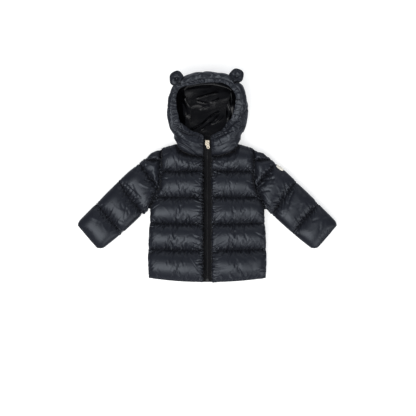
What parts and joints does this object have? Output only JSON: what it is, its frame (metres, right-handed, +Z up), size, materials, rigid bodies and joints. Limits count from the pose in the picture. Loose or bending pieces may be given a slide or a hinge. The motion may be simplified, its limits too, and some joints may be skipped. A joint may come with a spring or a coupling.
{
  "type": "kids puffer jacket",
  "caption": "Child's quilted puffer jacket with a zip front, a padded hood with round ears and long sleeves, lying flat on its back.",
  "frame": {"origin": "centre of the jacket's footprint, on the floor that it lies on", "axes": "+X to the wearer's left, +Y from the hem to the hood, +Z up from the floor, out of the front"},
  "size_m": [0.6844, 0.5619, 0.0947],
  "materials": {
    "shell": "glossy coated nylon",
    "lining": "satin",
    "tape": "matt woven",
    "moulding": "satin",
    "metal": "polished",
    "felt": "felt"
  },
  "bodies": {
    "jacket": {"body_back": "shell", "front_right": "shell", "front_left": "shell", "sleeve_right": "shell", "sleeve_left": "shell", "hood_centre": "shell", "hood_side_right": "shell", "hood_side_left": "shell", "hood_rim_casing": "shell", "lining_centre": "lining", "lining_right": "lining", "lining_left": "lining", "ear_right": "shell", "ear_left": "shell", "zip_tape_right": "tape", "zip_tape_left": "tape", "zip_chain": "moulding", "zip_box": "moulding", "zip_slider": "metal", "sleeve_badge": "felt"},
    "pull": {"zip_pull": "metal"}
  },
  "joints": [
    {"name": "pull_hinge", "type": "hinge", "parent": "jacket", "child": "pull", "pos_m": [0, 0.08646, 0.05011], "axis": [-0.9781, -0.1985, -0.0618], "range_deg": [0, 150]}
  ]
}
